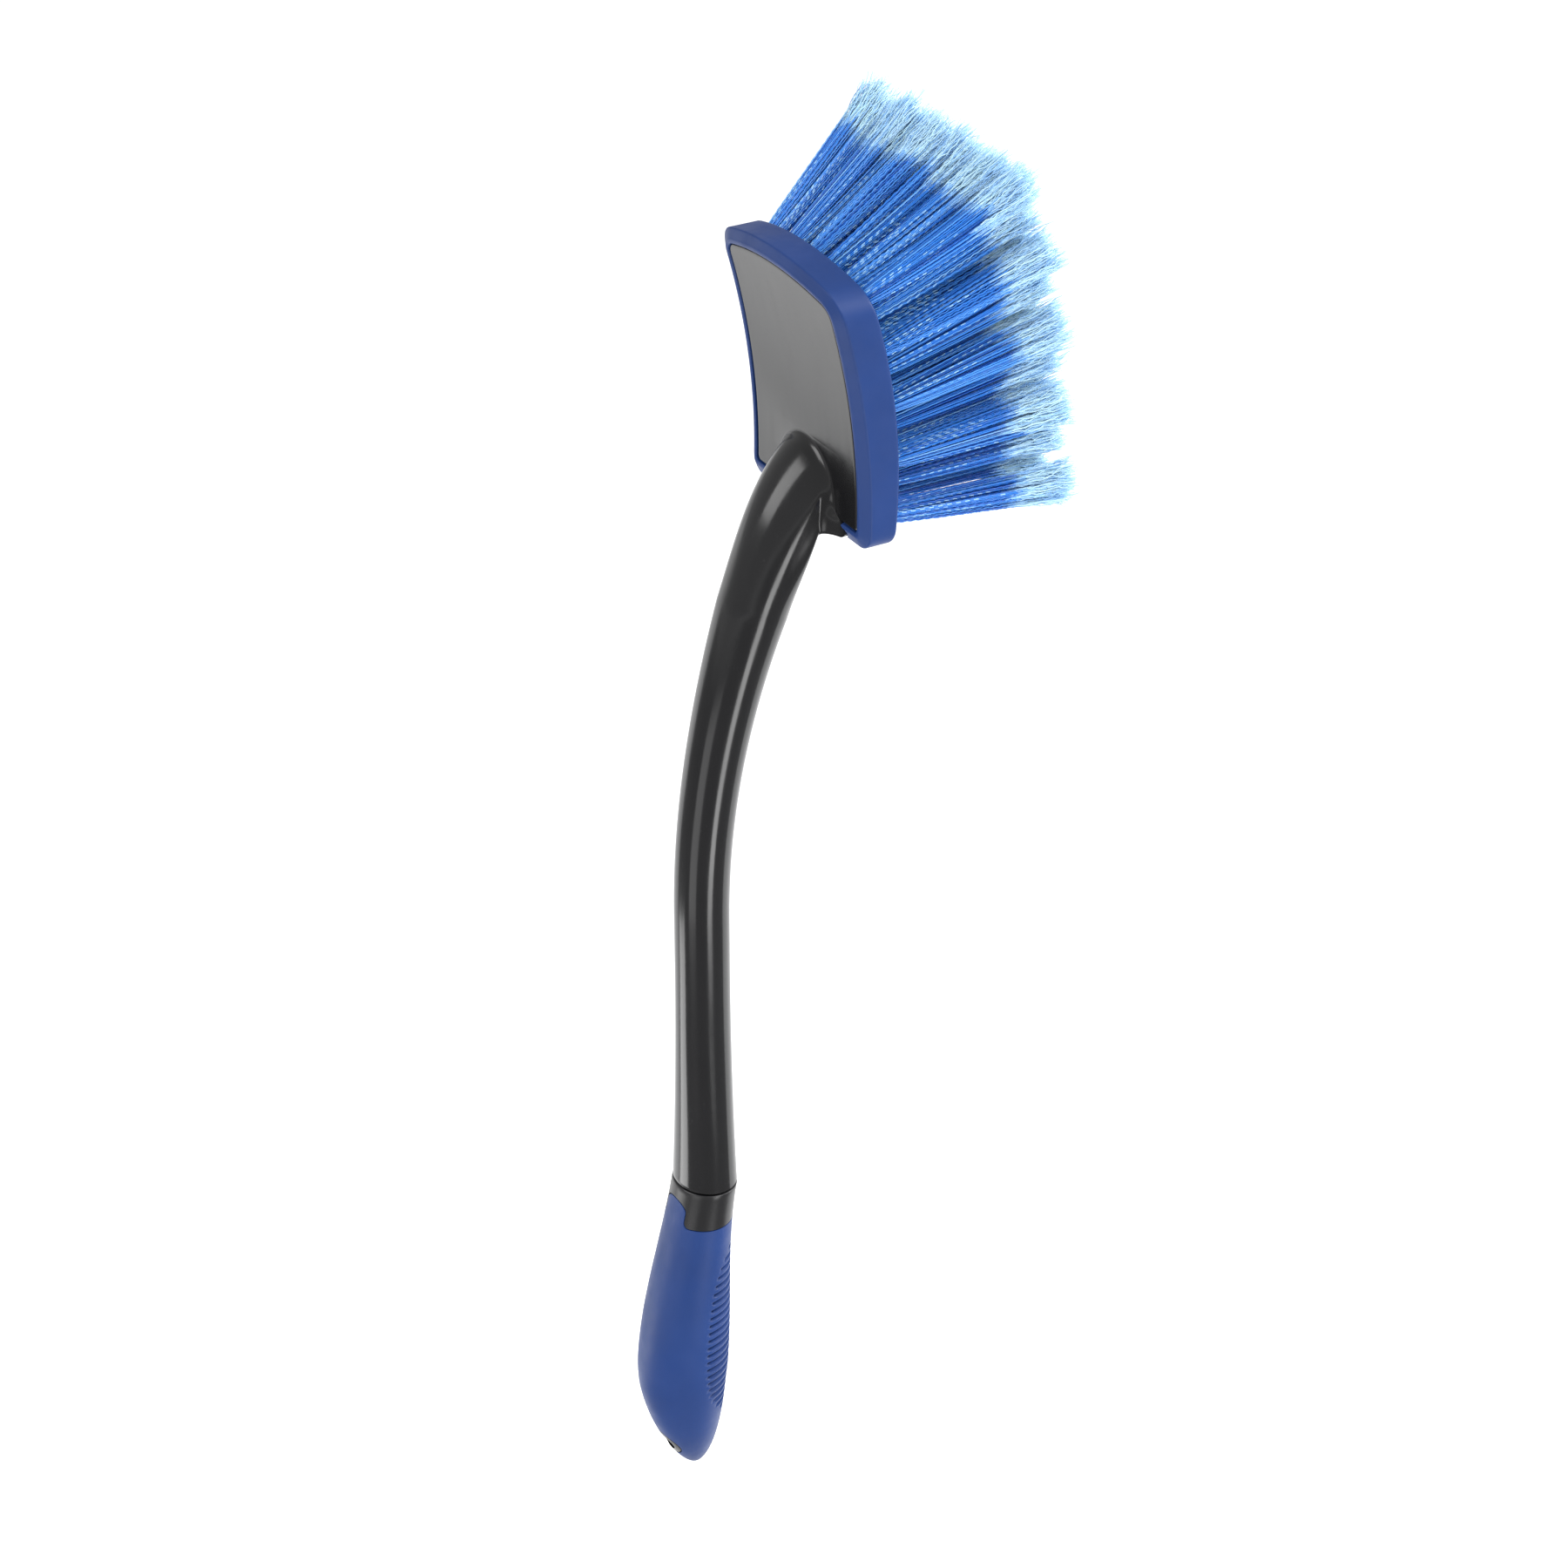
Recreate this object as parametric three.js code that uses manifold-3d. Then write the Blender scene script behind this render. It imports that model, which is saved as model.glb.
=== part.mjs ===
// Wheel brush: a curved black handle moulding that widens into the brush head, a soft bumper round
// the head, fifty splayed bristle tufts in blind holes, and a grip made of a hard core and a soft sleeve.
// Millimetres, +Z up along the handle, +X towards the bristle tips, Y = 0 is the plane of symmetry.
// The origin is on the grip's axis, in the middle of the hand's hold.
import * as THREE from "three";
import { mergeVertices } from "three/addons/utils/BufferGeometryUtils.js";
import Module from "manifold-3d";

const wasm = await Module();
wasm.setup();

// ---- Driving dimensions ----
const GAP = 0.3; // clearance between two pieces that touch

// Grip: from the rounded tip up to the seam with the shaft.
const TIP_Z = -56;
const PALM_Z = -12; // height of the palm swell, where the grip is widest
const SEAM_Z = 55;
const PALM_HALF_WIDTH = 14.4;
const SEAM_HALF_WIDTH = 10.1;
const SLEEVE_THICKNESS = 2.2;
const COLLAR_Z = 42.5; // lower edge of the bare collar at the front and the sides
const TONGUE_Z = 50.4; // top of the sleeve's tongue on the palm side
const TONGUE_HALF_WIDTH = 5.6;
const TONGUE_ROUNDING = 3.4;

// Shaft: straight above the grip, then a long forward bend.
const SHAFT_X = 8;
const BEND_START_Z = 150;
const BEND_RADIUS = 272;
const WAIST_Z = 135;
const WAIST_HALF_WIDTH = 8.35;
const GRIP_END_FLARE = 0.00026; // growth of the half width per square mm below the waist
const HEAD_END_FLARE = 0.0000015; // growth of the half width per cubic mm above the waist
const NECK_START_Z = 248;

// Spigot of the shaft inside the grip's socket.
const SPIGOT_REACH = 5.4;
const SPIGOT_HALF_WIDTH = 7;
const SPIGOT_END_Z = 27;

// Head: a plate that bows forward, with an arched top edge.
const HEAD_BOTTOM_Z = 274.5;
const HEAD_TOP_Z = 357.5;
const HEAD_HALF_WIDTH = 33;
const LOW_CORNER = 5.5;
const HIGH_CORNER = 9.4;
const TOP_ARCH = 5.6; // how far the top edge drops at the sides
const EDGE_X = 45; // outer back edge of the bumper, at the head's bottom
const BUMPER_RISE = 1.9; // the bumper's back lip stands this far behind its outer edge
const CHAMFER_WIDTH = 3.2;
const LIP_WIDTH = 1.6;
const BUMPER_WALL = 2.5;
const PANEL_RECESS = 0.35; // the hard panel lies this far below the lip
const FRONT_ROUND = 0.7;

// Neck: where the shaft runs into the panel.
const NECK_CENTRE_Z = 283.6;
const NECK_UP = 12.6;
const NECK_DOWN = 13;
const NECK_HALF_WIDTH = 13;
const NECK_FILLET = 3.4;
const FOOT_SPREAD = 8; // extra reach of the fillet at the foot's corners, which spread like an apron
const FOOT_RISE = 3; // rise of the apron's lower edge to the head's bottom edge
const NECK_ROOT = 4; // depth that the neck runs on into the head's core

// Tufts: staggered rows of six and five.
const TUFT_ROWS = 9;
const TUFT_COLUMNS = 6;
const TUFT_PITCH_Y = 10;
const TUFT_PITCH_Z = 8.35;
const FIRST_ROW_Z = 281.2;
const TUFT_LENGTH = 58; // free length in front of the head
const HOLE_DEPTH = 5.6;
const HOLE_RADIUS = 2.55;
const TUFT_ROOT_RADIUS = 2.15;
const TUFT_TIP_RADIUS = 5.9;
const TIP_ROUNDING = 4;

// Ribbed finger pad on the front of the sleeve.
const PAD_CENTRE_Z = 1.2;
const PAD_HALF_HEIGHT = 33;
const PAD_HALF_ANGLE = 1.43; // radians round the section, each side of the front
const GROOVE_PITCH = 2.8;
const GROOVE_WIDTH = 1.3;
const GROOVE_DEPTH = 0.8;

// Hanging eye near the tip.
const EYE_Z = -43.5;
const EYE_RADIUS = 3.5;
const EYELET_RADIUS = 5.1;
const EYE_LAND_X = 8; // flat land round the eye's front mouth
const LAND_RADIUS = 5.7;

// Facet counts.
const TUBE_SIDES = 24;
const TUFT_SIDES = 8;

// ---- Materials ----
function plastic(color, roughness) {
  return new THREE.MeshStandardMaterial({ color, roughness, metalness: 0 });
}
const blackPlastic = () => plastic(0x2e2e30, 0.3);
const blueRubber = () => plastic(0x2b4a92, 0.55);
const bristle = () => plastic(0x2f6fd0, 0.6);

// ---- Solids from rings ----
// A ring is a list of points that starts at the bottom, climbs on the +Y side and comes back down as
// the mirror image, so that point i and point (length - 1 - i) are a level pair.
function loftGeometry(rings) {
  const sides = rings[0].length;
  const index = [];
  rings.slice(1).forEach((_, r) => {
    for (let i = 0; i < sides; i++) {
      const a = r * sides + i;
      const b = r * sides + ((i + 1) % sides);
      index.push(a, b, b + sides, a, b + sides, a + sides);
    }
  });
  const last = (rings.length - 1) * sides;
  for (let i = 0; i < sides / 2 - 1; i++) {
    const [a, b, c, d] = [i, i + 1, sides - 2 - i, sides - 1 - i];
    index.push(a, c, b, a, d, c);
    index.push(last + a, last + b, last + c, last + a, last + c, last + d);
  }
  const points = rings.flat().flatMap((p) => p.toArray());
  const geometry = new THREE.BufferGeometry();
  geometry.setAttribute("position", new THREE.Float32BufferAttribute(points, 3));
  geometry.setIndex(index);
  return geometry;
}

function solidOf(geometry) {
  const bare = geometry.clone();
  bare.deleteAttribute("normal");
  bare.deleteAttribute("uv");
  const merged = mergeVertices(bare, 1e-4);
  return new wasm.Manifold(
    new wasm.Mesh({
      numProp: 3,
      vertProperties: merged.attributes.position.array,
      triVerts: new Uint32Array(merged.index.array),
    }),
  );
}

const loft = (rings) => solidOf(loftGeometry(rings));

function geometryOf(solid) {
  const made = solid.getMesh();
  const geometry = new THREE.BufferGeometry();
  geometry.setAttribute("position", new THREE.BufferAttribute(made.vertProperties, 3));
  geometry.setIndex(new THREE.BufferAttribute(made.triVerts, 1));
  geometry.computeVertexNormals();
  return geometry;
}

function part(name, solid, material) {
  const mesh = new THREE.Mesh(geometryOf(solid), material);
  mesh.name = name;
  return mesh;
}

function ovalRing(centre, forward, reach, halfWidth, sides = TUBE_SIDES) {
  const ring = [];
  for (let i = 0; i < sides; i++) {
    const turn = (2 * Math.PI * (i + 0.5)) / sides;
    const across = new THREE.Vector3(0, halfWidth * Math.sin(turn), 0);
    ring.push(across.addScaledVector(forward, reach * Math.cos(turn)).add(centre));
  }
  return ring;
}

function rodAlongX(radius, fromX, toX, z) {
  const rod = new THREE.CylinderGeometry(radius, radius, toX - fromX, 32);
  rod.rotateZ(Math.PI / 2).translate((fromX + toX) / 2, 0, z);
  return solidOf(rod);
}

// ---- Grip ----
// An oval section is given by what it measures seen from 30 degrees off the side: its visible half width.
// ratio is its width along Y over its depth along X.
function ovalAxes(visible, ratio) {
  const reach = visible / Math.sqrt(0.75 + 0.25 * ratio * ratio);
  return [reach, reach * ratio];
}

function gripHalfWidth(z, inset) {
  if (z > PALM_Z) {
    const up = (z - PALM_Z) / (SEAM_Z - PALM_Z);
    const swell = (PALM_HALF_WIDTH - SEAM_HALF_WIDTH) / 2;
    return SEAM_HALF_WIDTH + swell * (1 + Math.cos(Math.PI * up)) - inset;
  }
  const down = Math.min((PALM_Z - z) / (PALM_Z - TIP_Z - inset), 1);
  return (PALM_HALF_WIDTH - inset) * (1 - down ** 1.7) ** 0.62;
}

function gripCentreX(z) {
  const low = -1;
  if (z > -20) return low + (SHAFT_X - low) * ((z + 20) / (SEAM_Z + 20)) ** 1.5;
  return low + 4 * ((-20 - z) / 36) ** 1.5;
}

function gripRatio(z) {
  const up = THREE.MathUtils.smoothstep(z, PALM_Z, SEAM_Z);
  return 0.94 + 0.26 * up;
}

function gripRing(z, inset) {
  const [reach, halfWidth] = ovalAxes(gripHalfWidth(z, inset), gripRatio(z));
  return ovalRing(new THREE.Vector3(gripCentreX(z), 0, z), new THREE.Vector3(1, 0, 0), reach, halfWidth);
}

function gripSolid(inset, topZ) {
  const rings = [];
  const depth = PALM_Z - TIP_Z - inset;
  for (const share of [0.997, 0.97, 0.92, 0.84, 0.74, 0.62, 0.48, 0.33, 0.17]) {
    rings.push(gripRing(PALM_Z - depth * share, inset));
  }
  const steps = 9;
  for (let i = 0; i <= steps; i++) {
    rings.push(gripRing(PALM_Z + ((topZ - PALM_Z) * i) / steps, inset));
  }
  return loft(rings);
}

// The space of the bare collar: everything above the sleeve's top edge, except the tongue at the back.
function collarZone(gap) {
  const above = new THREE.BoxGeometry(80, 80, 40).translate(0, 0, COLLAR_Z - gap + 20);
  const half = TONGUE_HALF_WIDTH - gap;
  const foot = COLLAR_Z - gap;
  const right = [
    [half + 1.5, foot - 5],
    [half + 1.5, foot],
    [half + 0.5, foot + 0.6],
    [half, foot + 1.8],
  ];
  pushTop(right, half, TONGUE_Z - gap);
  const outline = right.concat(right.map(([y, z]) => [-y, z]).reverse());
  const rings = [-30, 4].map((x) => outline.map(([y, z]) => new THREE.Vector3(x, y, z)));
  return solidOf(above).subtract(loft(rings));
}

function pushTop(points, half, top) {
  const steps = 5;
  for (let i = 0; i <= steps; i++) {
    const angle = (1.45 * i) / steps;
    points.push([half * Math.cos(angle), top - TONGUE_ROUNDING * (1 - Math.sin(angle))]);
  }
}

function socket(clearance, endZ, topZ) {
  const rings = [endZ, (2 * endZ + topZ) / 3, (endZ + 2 * topZ) / 3, topZ].map((z) =>
    ovalRing(
      new THREE.Vector3(gripCentreX(Math.min(z, SEAM_Z)), 0, z),
      new THREE.Vector3(1, 0, 0),
      SPIGOT_REACH + clearance,
      SPIGOT_HALF_WIDTH + clearance,
    ),
  );
  return loft(rings);
}

function makeGripCore(envelope) {
  const inner = gripSolid(SLEEVE_THICKNESS, SEAM_Z - GAP);
  const bare = collarZone(0).add(rodAlongX(EYELET_RADIUS, -40, 40, EYE_Z));
  return envelope
    .intersect(bare)
    .add(inner)
    .subtract(socket(GAP, SPIGOT_END_Z - GAP, SEAM_Z + 5))
    .subtract(rodAlongX(EYE_RADIUS, -40, 40, EYE_Z))
    .subtract(rodAlongX(LAND_RADIUS, EYE_LAND_X, 40, EYE_Z));
}

function padGrooves() {
  const count = Math.floor((2 * PAD_HALF_HEIGHT) / GROOVE_PITCH);
  let bars = null;
  for (let i = 0; i < count; i++) {
    const away = (i - (count - 1) / 2) * GROOVE_PITCH;
    const z = PAD_CENTRE_Z + away;
    const angle = PAD_HALF_ANGLE * (1 - Math.abs(away / PAD_HALF_HEIGHT) ** 3) ** (1 / 3);
    const halfWidth = ovalAxes(gripHalfWidth(z, 0), gripRatio(z))[1] * Math.sin(angle);
    const bar = new THREE.BoxGeometry(40, 2 * halfWidth, GROOVE_WIDTH).translate(21.5, 0, z);
    bars = bars ? bars.add(solidOf(bar)) : solidOf(bar);
  }
  return bars.subtract(gripSolid(GROOVE_DEPTH, SEAM_Z - GAP));
}

function makeGripSleeve(envelope) {
  return envelope
    .subtract(gripSolid(SLEEVE_THICKNESS - GAP, SEAM_Z + 5))
    .subtract(collarZone(GAP))
    .subtract(rodAlongX(EYELET_RADIUS + GAP, -40, 40, EYE_Z))
    .subtract(rodAlongX(LAND_RADIUS, EYE_LAND_X, 40, EYE_Z))
    .subtract(padGrooves());
}

// ---- Head ----
function edgeX(z) {
  const up = z - HEAD_BOTTOM_Z;
  return EDGE_X + 0.043 * up - 0.0023 * up * up;
}

function frontX(z) {
  const up = z - HEAD_BOTTOM_Z;
  return edgeX(z) + 8.2 + 0.074 * up - 0.0006 * up * up;
}

function pushArc(points, y, z, radius, from, to, steps) {
  for (let i = 0; i <= steps; i++) {
    const angle = from + ((to - from) * i) / steps;
    points.push([y + radius * Math.cos(angle), z + radius * Math.sin(angle)]);
  }
}

// The head's outline moved inwards by inset, as [y, z] pairs in ring order.
function headOutline(inset) {
  const half = HEAD_HALF_WIDTH - inset;
  const low = Math.max(LOW_CORNER - inset, 1.5);
  const high = Math.max(HIGH_CORNER - inset, 3);
  const topEdge = (y) => HEAD_TOP_Z - inset - TOP_ARCH * (y / HEAD_HALF_WIDTH) ** 2;
  const slope = (2 * TOP_ARCH * (half - high)) / HEAD_HALF_WIDTH ** 2;
  const turn = Math.PI / 2 - Math.atan(slope);
  const topY = half - high + high * Math.cos(turn);
  const highZ = topEdge(topY) - high * Math.sin(turn);
  const lowZ = HEAD_BOTTOM_Z + inset + low;
  const points = [];
  pushArc(points, half - low, lowZ, low, -Math.PI / 2, 0, 4);
  const sideSteps = 7;
  for (let i = 1; i < sideSteps; i++) {
    points.push([half, lowZ + ((highZ - lowZ) * i) / sideSteps]);
  }
  pushArc(points, half - high, highZ, high, 0, turn, 4);
  for (const share of [0.78, 0.54, 0.3, 0.08]) {
    points.push([topY * share, topEdge(topY * share)]);
  }
  return points.concat(points.map(([y, z]) => [-y, z]).reverse());
}

const headLayer = (inset, xAt) =>
  headOutline(inset).map(([y, z]) => new THREE.Vector3(xAt(z), y, z));

const lipX = (z) => edgeX(z) - BUMPER_RISE;
const panelX = (z) => lipX(z) + PANEL_RECESS;
const shoulderX = (z) => edgeX(z) + 0.3;

function headCore() {
  const panelInset = CHAMFER_WIDTH + LIP_WIDTH + GAP;
  return loft([
    headLayer(panelInset + 0.4, panelX),
    headLayer(panelInset, (z) => panelX(z) + 0.4),
    headLayer(panelInset, (z) => shoulderX(z) + GAP),
    headLayer(BUMPER_WALL + GAP, (z) => shoulderX(z) + GAP),
    headLayer(BUMPER_WALL + GAP, (z) => frontX(z) - FRONT_ROUND),
  ]);
}

function makeBumper() {
  const outside = loft([
    headLayer(CHAMFER_WIDTH + LIP_WIDTH, lipX),
    headLayer(CHAMFER_WIDTH, lipX),
    headLayer(0, edgeX),
    headLayer(0, (z) => frontX(z) - FRONT_ROUND),
    headLayer(FRONT_ROUND, frontX),
  ]);
  const inside = loft([
    headLayer(CHAMFER_WIDTH + LIP_WIDTH, (z) => edgeX(z) - 9),
    headLayer(CHAMFER_WIDTH + LIP_WIDTH, shoulderX),
    headLayer(BUMPER_WALL, shoulderX),
    headLayer(BUMPER_WALL, (z) => frontX(z) + 9),
  ]);
  return outside.subtract(inside).subtract(neckAndShaft(GAP));
}

// ---- Shaft and neck ----
function shaftX(z) {
  const bend = Math.max(z - BEND_START_Z, 0);
  return SHAFT_X + (bend * bend) / (2 * BEND_RADIUS);
}

function shaftTangent(z) {
  const bend = Math.max(z - BEND_START_Z, 0);
  return new THREE.Vector3(bend / BEND_RADIUS, 0, 1).normalize();
}

function shaftRing(z, grow) {
  const up = z - WAIST_Z;
  const flare = up < 0 ? GRIP_END_FLARE * up ** 2 : HEAD_END_FLARE * up ** 3;
  const visible = WAIST_HALF_WIDTH + flare + grow;
  const seamShare = 1 - THREE.MathUtils.smoothstep(z, SEAM_Z, SEAM_Z + 60);
  const [reach, halfWidth] = ovalAxes(visible, 1.05 + 0.15 * seamShare);
  const along = shaftTangent(z);
  const forward = new THREE.Vector3(along.z, 0, -along.x);
  return ovalRing(new THREE.Vector3(shaftX(z), 0, z), forward, reach, halfWidth);
}

// Outline of the neck where it meets the panel: a tall arch with a square foot over the bottom edge.
function neckOutline(grow) {
  return ovalRing(new THREE.Vector3(), new THREE.Vector3(0, 0, -1), 1, 1).map((p) => {
    const foot = p.z < 0;
    const power = foot ? 0.4 : 1;
    const widening = 1 + 0.14 * Math.max(-p.z, 0);
    const y = Math.sign(p.y) * Math.abs(p.y) ** power * (NECK_HALF_WIDTH * widening + grow);
    const z = foot ? -(Math.abs(p.z) ** power) * (NECK_DOWN + grow) : p.z * (NECK_UP + grow);
    return [y, NECK_CENTRE_Z + z];
  });
}

// A point of the fillet from an outline point down to the panel, as turn runs from 0 to 1.
function filletPoint([y, z], turn, grow) {
  const out = new THREE.Vector2(y, z - NECK_CENTRE_Z).normalize();
  const foot = THREE.MathUtils.smoothstep(-out.y, 0.1, 0.7);
  const spread = (NECK_FILLET + FOOT_SPREAD * foot) * (1 - Math.cos((turn * Math.PI) / 2));
  const back = NECK_FILLET * (1 - Math.sin((turn * Math.PI) / 2));
  const rise = foot * FOOT_RISE * (1 - Math.cos((turn * Math.PI) / 2));
  const wideZ = z + Math.max(out.y, 0) * spread + rise;
  return new THREE.Vector3(panelX(wideZ) - back - grow, y + out.x * spread, wideZ);
}

function neckRings(grow) {
  const start = shaftRing(NECK_START_Z, grow);
  const outline = neckOutline(grow);
  const along = shaftTangent(NECK_START_Z);
  const end = outline.map((point) => filletPoint(point, 0, grow));
  const rings = [];
  const steps = 6;
  for (let s = 1; s <= steps; s++) {
    const t = s / steps;
    rings.push(
      start.map((from, i) => {
        const to = end[i];
        const span = from.distanceTo(to);
        const arrive = new THREE.Vector3(0.75, 0, 0.66);
        const foot = (1 + Math.cos((2 * Math.PI * (i + 0.5)) / TUBE_SIDES)) / 2;
        arrive.lerp(new THREE.Vector3(0.25, 0, 0.97), foot).normalize();
        return hermite(from, along, to, arrive, span, t);
      }),
    );
  }
  for (const turn of [0.35, 0.7, 1]) {
    rings.push(outline.map((point) => filletPoint(point, turn, grow)));
  }
  rings.push(rings.at(-1).map((p) => p.clone().setX(p.x + NECK_ROOT + 2 * grow)));
  return rings;
}

function hermite(from, leave, to, arrive, span, t) {
  const t2 = t * t;
  const t3 = t2 * t;
  return new THREE.Vector3()
    .addScaledVector(from, 2 * t3 - 3 * t2 + 1)
    .addScaledVector(leave, span * (t3 - 2 * t2 + t))
    .addScaledVector(to, 3 * t2 - 2 * t3)
    .addScaledVector(arrive, span * (t3 - t2));
}

function neckAndShaft(grow) {
  const rings = [];
  const steps = 13;
  for (let i = 0; i <= steps; i++) {
    const z = SEAM_Z + ((NECK_START_Z - SEAM_Z) * i) / steps;
    rings.push(shaftRing(z, grow));
  }
  return loft(rings.concat(neckRings(grow)));
}

function makeHandle(tufts) {
  let handle = neckAndShaft(0).add(headCore());
  handle = handle.add(socket(0, SPIGOT_END_Z, SEAM_Z + 4));
  for (const { root, direction } of tufts) {
    handle = handle.subtract(tuftSolid(root, direction, [[-HOLE_DEPTH, HOLE_RADIUS], [9, HOLE_RADIUS]]));
  }
  return handle;
}

// ---- Tufts ----
function tuftLayout() {
  const tufts = [];
  for (let row = 0; row < TUFT_ROWS; row++) {
    const count = TUFT_COLUMNS - (row % 2);
    const up = row / (TUFT_ROWS - 1);
    const z = FIRST_ROW_Z + row * TUFT_PITCH_Z;
    const lift = THREE.MathUtils.degToRad(2.5 + 43 * up - 15 * up * up);
    for (let column = 0; column < count; column++) {
      const y = (column - (count - 1) / 2) * TUFT_PITCH_Y;
      const widest = ((TUFT_COLUMNS - 1) / 2) * TUFT_PITCH_Y;
      const splay = THREE.MathUtils.degToRad(11 + 6 * up) * (y / widest);
      tufts.push({
        name: `tuft_row${row + 1}_${column + 1}`,
        root: new THREE.Vector3(frontX(z) - FRONT_ROUND, y, z),
        direction: new THREE.Vector3(
          Math.cos(lift) * Math.cos(splay),
          Math.cos(lift) * Math.sin(splay),
          Math.sin(lift),
        ),
      });
    }
  }
  return tufts;
}

// A body of revolution about a tuft's own line, from [distance along the line, radius] pairs.
function tuftSolid(root, direction, profile) {
  const side = new THREE.Vector3(0, 0, 1).cross(direction).normalize();
  const up = direction.clone().cross(side);
  const rings = profile.map(([along, radius]) => {
    const ring = [];
    for (let i = 0; i < TUFT_SIDES; i++) {
      const turn = (2 * Math.PI * (i + 0.5)) / TUFT_SIDES;
      const point = root.clone().addScaledVector(direction, along);
      point.addScaledVector(side, radius * Math.sin(turn));
      ring.push(point.addScaledVector(up, -radius * Math.cos(turn)));
    }
    return ring;
  });
  return loft(rings);
}

function makeTuft({ root, direction }) {
  return tuftSolid(root, direction, [
    [-HOLE_DEPTH + GAP, TUFT_ROOT_RADIUS],
    [1.5, TUFT_ROOT_RADIUS],
    [TUFT_LENGTH - TIP_ROUNDING, TUFT_TIP_RADIUS],
    [TUFT_LENGTH, TUFT_TIP_RADIUS * 0.7],
  ]);
}

// ---- Assembly ----
const layout = tuftLayout();
const envelope = gripSolid(0, SEAM_Z - GAP);

const head = new THREE.Group();
head.add(part("bumper_rim", makeBumper(), blueRubber()));
for (const tuft of layout) head.add(part(tuft.name, makeTuft(tuft), bristle()));

const grip = new THREE.Group();
grip.add(part("grip_core", makeGripCore(envelope), blackPlastic()));
grip.add(part("grip_sleeve", makeGripSleeve(envelope), blueRubber()));

const brush = new THREE.Group();
brush.add(part("handle_moulding", makeHandle(layout), blackPlastic()), head, grip);

export default brush;
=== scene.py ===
"""Wheel brush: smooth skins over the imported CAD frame, fifty bristle tufts made of separate filaments,
procedural plastics and rubber, a pale floor, soft studio light and the camera."""

import math

import bpy
import numpy as np
from mathutils import Matrix, Vector


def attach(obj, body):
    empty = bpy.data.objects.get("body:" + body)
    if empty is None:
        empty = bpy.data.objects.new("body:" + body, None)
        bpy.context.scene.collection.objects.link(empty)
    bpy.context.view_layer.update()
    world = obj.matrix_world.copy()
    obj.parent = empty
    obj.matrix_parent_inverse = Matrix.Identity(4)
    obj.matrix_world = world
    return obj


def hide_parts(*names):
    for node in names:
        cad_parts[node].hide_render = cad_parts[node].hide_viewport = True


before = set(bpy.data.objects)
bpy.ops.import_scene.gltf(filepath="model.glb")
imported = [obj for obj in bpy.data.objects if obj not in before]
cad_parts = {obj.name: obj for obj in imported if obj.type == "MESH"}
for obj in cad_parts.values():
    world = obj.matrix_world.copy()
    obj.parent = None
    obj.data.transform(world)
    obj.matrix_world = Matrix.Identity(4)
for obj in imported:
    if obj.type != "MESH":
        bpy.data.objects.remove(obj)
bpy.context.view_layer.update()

# ---- The part's own dimensions, in millimetres, as in the CAD ----
GAP = 0.3
TIP_Z, PALM_Z, SEAM_Z = -56.0, -12.0, 55.0
PALM_HALF, SEAM_HALF = 14.4, 10.1
BELLY_Z, BELLY_X, TIP_DRIFT = -20.0, -1.0, 4.0
SLEEVE_THICKNESS = 2.2
COLLAR_Z, TONGUE_Z, TONGUE_HALF, TONGUE_ROUNDING = 42.5, 50.4, 5.6, 3.4
TONGUE_FLARE, TONGUE_FLARE_RISE = 1.6, 1.9
SHAFT_X, BEND_START_Z, BEND_RADIUS = 8.0, 150.0, 272.0
WAIST_Z, WAIST_HALF = 135.0, 8.35
GRIP_END_FLARE, HEAD_END_FLARE = 0.00026, 0.0000015
NECK_START_Z = 248.0
SPIGOT_REACH, SPIGOT_HALF, SPIGOT_END_Z = 5.4, 7.0, 27.0
HEAD_BOTTOM_Z, HEAD_TOP_Z, HEAD_HALF = 274.5, 357.5, 33.0
HEAD_MIDDLE_Z = (HEAD_BOTTOM_Z + HEAD_TOP_Z) / 2
LOW_CORNER, HIGH_CORNER, TOP_ARCH = 5.5, 9.4, 5.6
EDGE_X, EDGE_SLOPE, EDGE_CURVE = 45.0, 0.043, 0.0023
HEAD_DEPTH, DEPTH_SLOPE, DEPTH_CURVE = 8.2, 0.074, 0.0006
BUMPER_RISE, SHOULDER = 1.9, 0.3
CHAMFER_WIDTH, LIP_WIDTH, BUMPER_WALL = 3.2, 1.6, 2.5
PANEL_RECESS, FRONT_ROUND = 0.35, 0.7
NECK_CENTRE_Z, NECK_UP, NECK_DOWN, NECK_HALF = 283.6, 12.6, 13.0, 13.0
NECK_FILLET, FOOT_SPREAD, FOOT_RISE, FOOT_WIDENING, NECK_ROOT = 3.4, 8.0, 3.0, 0.14, 4.0
TUFT_ROWS, TUFT_COLUMNS, TUFT_PITCH_Y, TUFT_PITCH_Z = 9, 6, 10.0, 8.35
FIRST_ROW_Z, TUFT_LENGTH, HOLE_DEPTH, HOLE_RADIUS = 281.2, 58.0, 5.6, 2.55
PAD_CENTRE_Z, PAD_HALF_HEIGHT, PAD_HALF_ANGLE = 1.2, 33.0, 1.5
GROOVE_PITCH, GROOVE_WIDTH, GROOVE_DEPTH = 2.8, 1.3, 0.8
EYE_Z, EYE_RADIUS, EYELET_RADIUS, EYE_LAND_X, LAND_RADIUS = -43.5, 3.5, 5.1, 8.0, 5.7

# ---- Fineness of the skins ----
SIDES = 120
RING_STEP, GROOVED_RING_STEP = 1.2, 0.28
END_SHARES = [0.9995, 0.998, 0.995, 0.99, 0.98, 0.965, 0.945, 0.92, 0.89, 0.855, 0.815, 0.77]
GROOVE_WALL, GROOVE_DEEPENING, PAD_EDGE_ANGLE = 0.2, 1.4, 0.045
# Far enough for a cutter to pass right through a piece.
FAR = 40.0


def ring_turns(sides):
    """Angles of a ring's points, half a step off the start so that they lie in level pairs."""
    return 2 * np.pi * (np.arange(sides) + 0.5) / sides


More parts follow.
